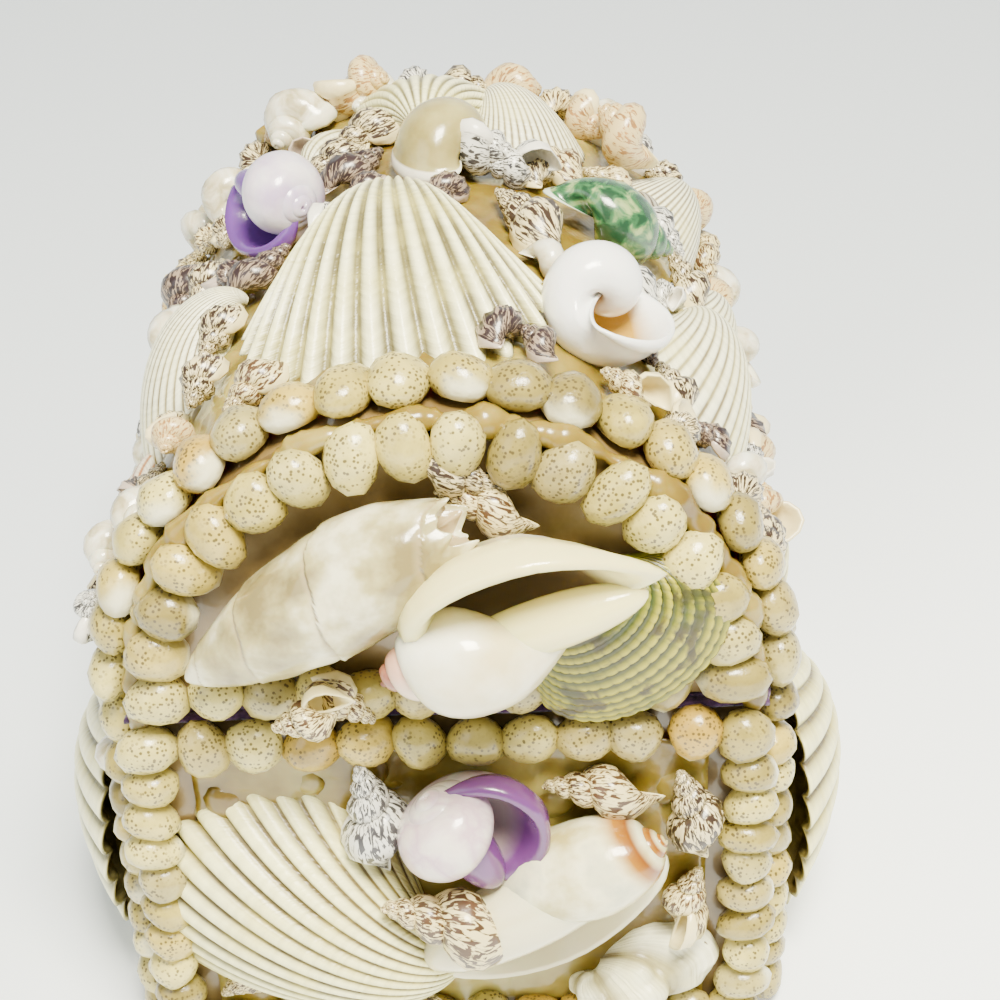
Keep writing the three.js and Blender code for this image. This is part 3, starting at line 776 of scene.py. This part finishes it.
orange_ends = [("around", [
    (0.3, (0.4, 0.17, 0.01, 0)), (0.33, (0.2, 0.06, 0.002, 1)), (0.36, (0.34, 0.14, 0.006, 1)),
    (0.4, (0.5, 0.26, 0.03, 0)), (0.64, (0.6, 0.26, 0.01, 0)), (0.69, (0.42, 0.17, 0.004, 1)),
    (0.73, (0.3, 0.1, 0.004, 1)), (0.76, (0.04, 0.006, 0.015, 1)),
])]
pink_spire = [("turn", [
    (0.35, (0.28, 0.1, 0.06, 1)), (0.5, (0.66, 0.36, 0.24, 0.9)), (0.58, (0.85, 0.7, 0.55, 0.5)),
    (0.66, (0.9, 0.8, 0.7, 0.0)),
])]
ivory = glossy_material(
    "ivory_conch", [(0.35, (0.72, 0.62, 0.34)), (0.65, (0.9, 0.87, 0.7))],
    90, (0.86, 0.77, 0.34), (0.16, 0.11, 0.06), pink_spire,
)
cream = glossy_material(
    "cream_conch", [(0.35, (0.5, 0.42, 0.15)), (0.52, (0.84, 0.79, 0.5)), (0.7, (0.5, 0.5, 0.36))],
    110, (0.74, 0.68, 0.42), (0.4, 0.24, 0.09), orange_ends,
)
mauve = glossy_material(
    "mauve_snail", [(0.35, (0.76, 0.66, 0.6)), (0.5, (0.6, 0.42, 0.48)), (0.65, (0.78, 0.7, 0.62))],
    150, (0.12, 0.035, 0.15), (0.34, 0.25, 0.26), distortion=0.5,
)
violet = glossy_material(
    "violet_snail", [(0.35, (0.76, 0.7, 0.72)), (0.6, (0.5, 0.38, 0.56))],
    110, (0.13, 0.045, 0.24), (0.03, 0.006, 0.08),
)
milk = glossy_material(
    "milk_snail", [(0.4, (0.9, 0.89, 0.86)), (0.7, (0.93, 0.92, 0.9))],
    60, (0.9, 0.89, 0.85), (0.45, 0.26, 0.03),
)
olive = glossy_material(
    "olive_snail", [(0.35, (0.26, 0.21, 0.06)), (0.7, (0.5, 0.44, 0.18))],
    110, (0.8, 0.75, 0.6), (0.5, 0.4, 0.2),
)
jade = glossy_material(
    "jade_turban", [(0.4, (0.012, 0.05, 0.02)), (0.52, (0.04, 0.14, 0.05)), (0.66, (0.28, 0.36, 0.14))],
    320, (0.6, 0.65, 0.5), (0.6, 0.65, 0.5), distortion=1.0,
)

conch = grow_snail(3.6, 1.85, 2.4, 1.5, 32, 40, 0.62, 0.16, shoulder=0.3, flare=0.14, pillar=0.3)
moon = grow_snail(3.0, 2.2, 0.75, 0.7, 32, 48, 0.0, full=0.5)
winkle = grow_snail(3.4, 1.7, 0.95, 0.72, 32, 48, 0.15, 0.17, pillar=0.33, full=0.6)
stromb = grow_snail(3.0, 2.2, 1.75, 1.5, 36, 48, 0.3, 0.06, flare=0.35, pillar=0.5, full=0.85)
turban = grow_snail(4.0, 1.9, 1.5, 0.75, 20, 36, 0.15, cords=6)
snails = [
    # name, form, length, width, roll, material, slot, place
    ("front_conch", conch, 42, 25, -6, ivory, "pearl_shell", ("front", 10.5, 90, 20, 3)),
    ("body_conch", stromb, 44, 24, -25, cream, "pearl_shell", ("front", 14.5, 32, -148, 0)),
    ("mauve_snail", winkle, 21, 22, -25, mauve, "mauve_shell", ("front", 3.8, 48, -60, 0)),
    ("white_moon", moon, 19, 20, -10, milk, "chalk_shell", ("barrel", 27, -33, -108, 0)),
    ("violet_snail", winkle, 20, 17, -60, violet, "mauve_shell", ("barrel", -31, 11.5, 125, 1, 15)),
    ("olive_moon", moon, 17, 16.5, 180, olive, "pearl_shell", ("barrel", 1, 18.5, -70, 0)),
    ("green_turban", turban, 24, 14, 180, jade, "jade_shell", ("barrel", 33, 8, -166, 0)),
]
for index, (name, form, length, width, roll, material, slot, place) in enumerate(snails):
    piece = new_shell_mesh()
    lay_snail(piece, form, length, width, roll, 5.1 * index, place)
    add_piece(name, piece, material, [name])


# ---- Long worn cerith ----
# A sea-worn spindle, milky and half clear, with thin shingled seams between its whorls.
# The end beside the conch is broken open, and it is glued on its side across the lid.


def close_up(mesh, gap):
    """Merges what meets, closes what is still open and turns the faces outward."""
    bmesh.ops.remove_doubles(mesh, verts=mesh.verts, dist=gap)
    bmesh.ops.holes_fill(mesh, edges=[edge for edge in mesh.edges if edge.is_boundary], sides=0)
    bmesh.ops.recalc_face_normals(mesh, faces=mesh.faces)


def grow_spindle(length, width, whorls):
    """A closed spindle along X with its tip at -X, a seam that winds round it, and a broken mouth at +X."""
    spindle = new_shell_mesh()
    turn, around, rib, _ = pattern_values(spindle)
    bmesh.ops.create_grid(spindle, x_segments=72, y_segments=240, size=0.5)
    brink = 0.86  # the share of the rows that makes the outside
    for vert in spindle.verts:
        facing, along = tau * (vert.co.x + 0.5), vert.co.y + 0.5
        outside = min(along / brink, 1.0)
        inside = max(0.0, (along - brink) / (1 - brink))
        wound = whorls * outside**0.62 + facing / tau + 0.015 * sin(5 * facing)
        seam = wound % 1.0
        profile = sin(pi * min(0.5, 0.5 * outside / 0.64)) ** 0.68
        profile *= 1 - 0.55 * max(0.0, (outside - 0.66) / 0.34) ** 1.7
        radius = 0.5 * width * profile * (1 + 0.03 * exp(-9 * seam) - 0.035 * exp(-14 * (1 - seam)))
        radius *= 1 + 0.05 * noise.noise((2 * cos(facing), 2 * sin(facing), 9 * outside))
        tooth = max(0.0, sin(3 * facing + 0.8)) ** 3 * 2.6
        tooth += 1.2 * noise.noise((3 * cos(facing), 3 * sin(facing), 9.0))
        reach = length * (outside - 0.5) + tooth * max(0.0, (outside - 0.9) / 0.1)
        if inside:
            radius *= (0.86 - 0.8 * inside) if inside > 0.2 else 1 - 0.7 * inside
            reach -= 7 * inside
        vert.co = (reach, radius * cos(facing), radius * sin(facing))
        vert[around] = facing / tau
        vert[turn] = outside
        vert[rib] = 0.0 if inside > 0.15 else 0.2 + 0.8 * exp(-16 * (1 - seam))
    close_up(spindle, 0.05)
    spindle.transform(Matrix.Translation((0, 0, width / 2)))
    return spindle


worn_beige = glossy_material(
    "worn_cerith", [(0.38, (0.24, 0.19, 0.07)), (0.5, (0.46, 0.4, 0.18)), (0.62, (0.8, 0.75, 0.5))],
    110, (0.7, 0.62, 0.46), (0.45, 0.34, 0.17),
    [("rib", [(0.4, (0.5, 0.4, 0.22, 0)), (0.9, (0.36, 0.27, 0.13, 0.8))])],
)
cerith = lay_shell(grow_spindle(45, 17.5, 4.0), "front", -16.5, 89.5, 33, 0.6)
add_piece("long_cerith", cerith, worn_beige, ["long_cerith"])


# ---- Green corded shell and white frilled shell ----
# A yellow-green piece of a turban, with beaded cords, is tucked under the conch,
# and a thin white oyster with a frilled margin is glued down at the foot of the front.


def green_material():
    material, shader = plain_shader(
        "green_cords", (0.2, 0.22, 0.03), 0.42, Coat_Weight=0.15, Coat_Roughness=0.2
    )
    greens = [(0.2, (0.01, 0.014, 0.001)), (0.6, (0.085, 0.09, 0.003)), (0.98, (0.38, 0.34, 0.008))]
    ridges = add_ramp(shader, value_of(shader, "rib"), greens)
    patch = add_ramp(shader, add_noise(shader, 190, 4, 0.6), [(0.52, 0), (0.6, 0.9)])
    patched = mix_colors(shader, patch, ridges, (0.035, 0.025, 0.006))
    mossy = add_ramp(shader, add_noise(shader, 90, 3), [(0.45, 0), (0.65, 0.6)])
    paint(shader, mix_colors(shader, mossy, patched, (0.035, 0.075, 0.006)))
    add_grain(shader, 700, 3, 0.12)
    return material


green_shell = grow_valve(26, 32, 40, 200, 150, 1.0, 0.06, 0.7, rings=30)
green_shell.transform(Matrix.Diagonal((1, 1, 0.8, 1)))
lay_shell(green_shell, "front", 24.5, 80, -52, 4.2, 12)
add_piece("green_ribbed_shell", green_shell, green_material(), ["green_ribbed_shell"])
frill = grow_valve(23, 15, 7, 84, 40, 0.7, 0.16, 1.0, rings=4)
for vert in frill.verts:
    vert.co += Vector((1.2, 1.0, 1.4)) * noise.noise(vert.co * 0.28)
lay_shell(frill, "front", 31, 14.5, 18, 0.5)
add_piece("white_shell", frill, white_lines, ["white_shell"])


# ---- Small shells between the big ones ----
# Dog whelks, periwinkles and little clams, pressed into the wet glue wherever the board still showed.
# Those beside the big shells have places of their own, and the rest are strewn over what is left.

AREAS = {
    # face: (lowest u, highest u, lowest v, highest v), inside the border rows
    "barrel": (-86, 86, -45, 46),
    "left": (-46, 46, 12, 52),
    "right": (-46, 46, 12, 52),
    "back": (-36, 36, 12, 108),
    "front": (-34, 34, 11, 53),
}
tiny_whelk = grow_snail(3.6, 1.62, 2.35, 0.78, 10, 22, 0.55, 0.14, ribs=11, rib_height=0.14, full=0.25)
tiny_winkle = grow_snail(3.4, 1.8, 1.5, 0.68, 12, 22, 0.2, 0.14, full=0.5)
plum = whelk_material("plum_whelk", (0.3, 0.22, 0.15), (0.016, 0.009, 0.009), (0.5, 0.4, 0.32), 1.1)
tan = whelk_material("tan_winkle", (0.66, 0.5, 0.22), (0.2, 0.1, 0.03), (0.78, 0.66, 0.36), 0.6)
pearl = glossy_material(
    "pearl_winkle", [(0.35, (0.42, 0.36, 0.2)), (0.5, (0.66, 0.6, 0.42)), (0.7, (0.82, 0.8, 0.68))],
    260, (0.8, 0.76, 0.58), (0.4, 0.3, 0.14), distortion=0.8,
)
small = [
    # form, material, length, width, roll, place
    (tiny_whelk, freckled, 15, 8, 180, ("barrel", -14, 33, 32, 1)),
    (tiny_whelk, freckled, 13, 7, 180, ("barrel", -21, 28, 20, 0.5)),
    (tiny_whelk, plum, 12, 7, 180, ("barrel", 11, -38.5, -88, 2)),
    (tiny_whelk, plum, 9, 5.5, 180, ("barrel", 17, -42, -50, 3)),
    (tiny_winkle, tan, 14, 12, 0, ("barrel", -17, 50, 150, 1)),
    (tiny_winkle, pearl, 14, 13, 170, ("barrel", -29, 47, 60, 1)),
    (tiny_winkle, slate, 11, 9, 40, ("barrel", 8, 17, 160, 2)),
    (tiny_whelk, freckled, 10, 6, 180, ("barrel", 19, 19, -80, 1)),
    (tiny_winkle, tan, 14, 12, -60, ("barrel", 36, 38, -30, 3)),
    (tiny_whelk, sandy, 13, 7, 180, ("barrel", 24, 24, -40, 1)),
    (tiny_whelk, freckled, 12, 7, 150, ("barrel", 44, -34, -60, 1)),
    (tiny_whelk, freckled, 13, 7, 180, ("barrel", 55, 13, -40, 1)),
    (tiny_whelk, freckled, 13, 7, 180, ("barrel", 62, -42, -110, 1)),
    (tiny_whelk, freckled, 14, 7, 180, ("barrel", 72, -44, -100, 1)),
    (tiny_whelk, slate, 12, 7, 180, ("barrel", 46, 20, 160, 2)),
    (tiny_whelk, freckled, 12, 7, 180, ("barrel", -41, -16, 60, 2)),
    (tiny_whelk, freckled, 12, 7, 180, ("barrel", -43, -29, 75, 2)),
    (tiny_winkle, tan, 9, 8, 0, ("barrel", -48, -40, 75, 2)),
    (tiny_whelk, sandy, 12, 7, 180, ("barrel", -30, -42, 40, 1.5)),
    (tiny_whelk, freckled, 12, 7, 180, ("barrel", -52, 14, 60, 1)),
    (tiny_winkle, plum, 12, 10, 180, ("barrel", -60, 22, 60, 1)),
    (tiny_whelk, freckled, 13, 8, 160, ("barrel", -66, 30, 90, 1)),
    (tiny_winkle, slate, 9, 8, 0, ("barrel", -82, -46, 160, 3)),
    (tiny_winkle, pearl, 13, 9, -40, ("barrel", -72, -40, 70, 2)),
    (tiny_whelk, freckled, 14, 7, 180, ("front", 3, 106, 160, 0.5)),
    (tiny_whelk, sandy, 12, 7, 160, ("front", -14, 71, 140, 4)),
    (tiny_whelk, sandy, 11, 6, 180, ("front", -33, 14, 40, 1)),
    (tiny_winkle, pearl, 9, 7, 0, ("front", 26, 38, 40, 1)),
]
edge_kinds = [
    (tiny_whelk, freckled, 7.5), (tiny_winkle, tan, 10), (tiny_whelk, sandy, 7.5), (tiny_winkle, pearl, 10),
    (tiny_whelk, slate, 7.5),
]
back_edge = []
for index in range(20):
    form, material, width = edge_kinds[index % 5]
    place = ("barrel", -96 + 192 * (index + 0.5) / 20, 51, 60 + 47 * index, 0.3)
    back_edge.append((form, material, 12, width, 180, place))
taken = {face: [] for face in AREAS}


def flat_u(face, u):
    """How far round the face u is, in millimetres."""
    return radians(u) * lid_radius if face == "barrel" else u


def claim(place, reach):
    """Keeps a shell's place clear of the ones that are strewn later."""
    face, u, v = place[:3]
    taken[face].append((flat_u(face, u), v, reach))


for valve_row in valves:
    claim(valve_row[-1], 0.5 * min(valve_row[1:3]))
for whelk_row in whelks:
    claim(whelk_row[-1], 0.4 * whelk_row[1])
for snail_row in snails:
    claim(snail_row[-1], 0.4 * snail_row[2])
for small_row in small:
    claim(small_row[-1], 0.42 * small_row[2])


def is_board(face, u, v):
    """Whether a spot is on the open board: on the back it misses the rows at the joint and round the arch."""
    if face != "back" or v < 53:
        return face != "front"
    return v > lid_low.z + 11 and u * u + (v - barrel_axis) ** 2 < (lid_radius - 11) ** 2


luck = Random("small shells")
kinds = [
    (tiny_whelk, freckled), (tiny_whelk, sandy), (tiny_whelk, freckled), (tiny_winkle, tan),
    (tiny_whelk, slate), (tiny_winkle, pearl), (tiny_whelk, plum), (tiny_whelk, freckled),
]
for face, (low_u, high_u, low_v, high_v) in AREAS.items():
    for attempt in range(2600 if face == "barrel" else 1300):
        u, v, length = luck.uniform(low_u, high_u), luck.uniform(low_v, high_v), luck.uniform(9, 15)
        spot = Vector((flat_u(face, u), v))
        apart = [(spot - Vector(other[:2])).length - other[2] for other in taken[face]]
        if is_board(face, u, v) and min(apart, default=99) > 0.3 * length:
            form, material = luck.choice(kinds)
            place = (face, u, v, luck.uniform(0, 360), luck.uniform(0.3, 1.3))
            claim(place, 0.28 * length)
            width = length * (0.55 if form is tiny_whelk else 0.8)
            small.append((form, material, length, width, luck.choice([0, 180, 150, 60]), place))
for material in (freckled, sandy, slate, plum, tan, pearl):
    for group_name, shells in (("small", small), ("back_edge", back_edge)):
        group = new_shell_mesh()
        for index, (form, shell_material, length, width, roll, place) in enumerate(shells):
            if shell_material is material:
                lay_snail(group, form, length, width, roll, 1.7 * index, place)
        if group.verts:
            nodes = ["back_edge_row"] if group_name == "back_edge" else []
            add_piece(f"{group_name}_{material.name}s", group, material, nodes)


clams = [
    # length, width, ribs, material, place
    (13, 11, 14, "striped", ("barrel", 47, 27, -60, 1)),
    (14, 12, 14, "white", ("barrel", 60, 40, -100, 1)),
    (12, 10, 12, "patched", ("barrel", -72, -24, 80, 2, 20)),
    (11, 9, 12, "striped", ("barrel", -46, 34, 100, 1)),
    (13, 11, 12, "white", ("barrel", -24, 38, 60, 1)),
    (10, 9, 12, "striped", ("barrel", 30, -14, 30, 1)),
    (12, 10, 12, "patched", ("barrel", 74, 0, 10, 1)),
]
clam_finishes = {
    "striped": valve_material("striped_clam", (0.5, 0.46, 0.36), (0.06, 0.045, 0.03), (0.2, 0.16, 0.1)),
    "patched": valve_material("patched_clam", (0.85, 0.8, 0.6), (0.4, 0.18, 0.06), (0.42, 0.13, 0.04)),
    "white": white_lines,
}
for finish, material in clam_finishes.items():
    group = new_shell_mesh()
    for length, width, ribs, chosen, place in clams:
        if chosen == finish:
            add_mesh(group, lay_shell(grow_valve(length, width, ribs, 5 * ribs, 16, 1.0, 0.02, 0.7), *place))
    add_piece(f"small_{finish}_clams", group, material)


# ---- Glue ----
# Yellow hot-melt glue: a wavy skin over the boards, blobs squeezed out between the shells,
# and a thick bead in the corner between the two arched rows at each end of the lid. Its ochre is painted
# darker than the glue's own, as painted shade between the shells.


def glue_material():
    material, shader = plain_shader(
        "yellow_glue_and_painted_shade", (0.4, 0.3, 0.08), 0.3, Coat_Weight=0.4, Coat_Roughness=0.1, Subsurface_Weight=0.2,
        Subsurface_Scale=0.002,
    )
    # The glue's own ochre, darkened further as painted shade in the gaps between the shells.
    glue_yellows_and_painted_shade = [(0.3, (0.09, 0.05, 0.004)), (0.5, (0.22, 0.15, 0.016)), (0.7, (0.42, 0.34, 0.09))]
    paint(shader, add_ramp(shader, add_noise(shader, 55, 4), glue_yellows_and_painted_shade))
    add_grain(shader, 160, 3, 0.6)
    return material


yellow_glue_and_painted_shade = glue_material()


def glue_skin(face):
    """A thin closed sheet of glue that follows a face and runs under its rows, with heaps in it."""
    low_u, high_u, low_v, high_v = AREAS[face]
    spread_u, spread_v = 4, 5  # how far it runs under the rows
    skin = bmesh.new()
    bmesh.ops.create_grid(skin, x_segments=70, y_segments=50, size=0.5)
    for vert in skin.verts:
        u = low_u - spread_u + (vert.co.x + 0.5) * (high_u - low_u + 2 * spread_u)
        v = low_v - spread_v + (vert.co.y + 0.5) * (high_v - low_v + 2 * spread_v)
        here = face_frame(face, u, v)
        heap = 1.0 + 1.1 * noise.noise(here.translation * 0.12) + 0.5 * noise.noise(here.translation * 0.4)
        vert.co = here @ Vector((0, 0, max(0.0, heap) + 0.5))
    if face == "back":  # the back of the lid is round
        hub = Vector((0, body_high.y, barrel_axis))
        beyond = []
        for item in skin.faces:
            middle = item.calc_center_median()
            if middle.z > body_high.z - 6 and (middle - hub).length > lid_radius - 3:
                beyond.append(item)
        bmesh.ops.delete(skin, geom=beyond, context="FACES")
    bmesh.ops.recalc_face_normals(skin, faces=skin.faces)
    bmesh.ops.solidify(skin, geom=skin.faces[:], thickness=0.25)
    return skin


for face in AREAS:
    add_piece(f"{face}_glue", glue_skin(face), yellow_glue_and_painted_shade)
blobs = bmesh.new()
for face, (low_u, high_u, low_v, high_v) in AREAS.items():
    for attempt in range(90 if face == "barrel" else 30):
        u, v, size = luck.uniform(low_u, high_u), luck.uniform(low_v, high_v), luck.uniform(1.6, 3.4)
        verts = bmesh.ops.create_icosphere(blobs, subdivisions=2, radius=1.0)["verts"]
        shift = luck.uniform(0, 50)
        for vert in verts:
            swell = 1 + 0.4 * noise.noise(vert.co * 1.3 + Vector((shift, 0, 0)))
            vert.co = Vector((vert.co.x * 1.3, vert.co.y, vert.co.z * 0.5)) * size * swell
        spin = Matrix.Rotation(luck.uniform(0, tau), 4, "Z")
        place = face_frame(face, u, v) @ Matrix.Translation((0, 0, 0.8)) @ spin
        bmesh.ops.transform(blobs, matrix=place, verts=verts)
add_piece("glue_blobs", blobs, yellow_glue_and_painted_shade)


def glue_bead(side):
    """A wavy bead of glue in the corner between the two arched rows at one end of the lid."""
    bead = bmesh.new()
    bmesh.ops.create_grid(bead, x_segments=220, y_segments=12, size=0.5)
    for vert in bead.verts:
        bearing, turned = radians(194 * vert.co.x), tau * (vert.co.y + 0.5)
        way = Vector((sin(bearing), 0, cos(bearing)))
        girth = 1.5 + 1.5 * noise.noise(way * 9) + 0.6 * noise.noise(way * 30)
        reach = lid_radius - 0.6 + 0.7 * noise.noise(way * 6 + Vector((0, 5, 0)))
        middle = Vector((0, side * (body_high.y + 0.8), barrel_axis)) + way * reach
        vert.co = middle + girth * (cos(turned) * way + sin(turned) * Vector((0, side, 0)))
    close_up(bead, 0.001)
    return bead


add_piece("front_glue_bead", glue_bead(-1), yellow_glue_and_painted_shade)
add_piece("back_glue_bead", glue_bead(1), yellow_glue_and_painted_shade)
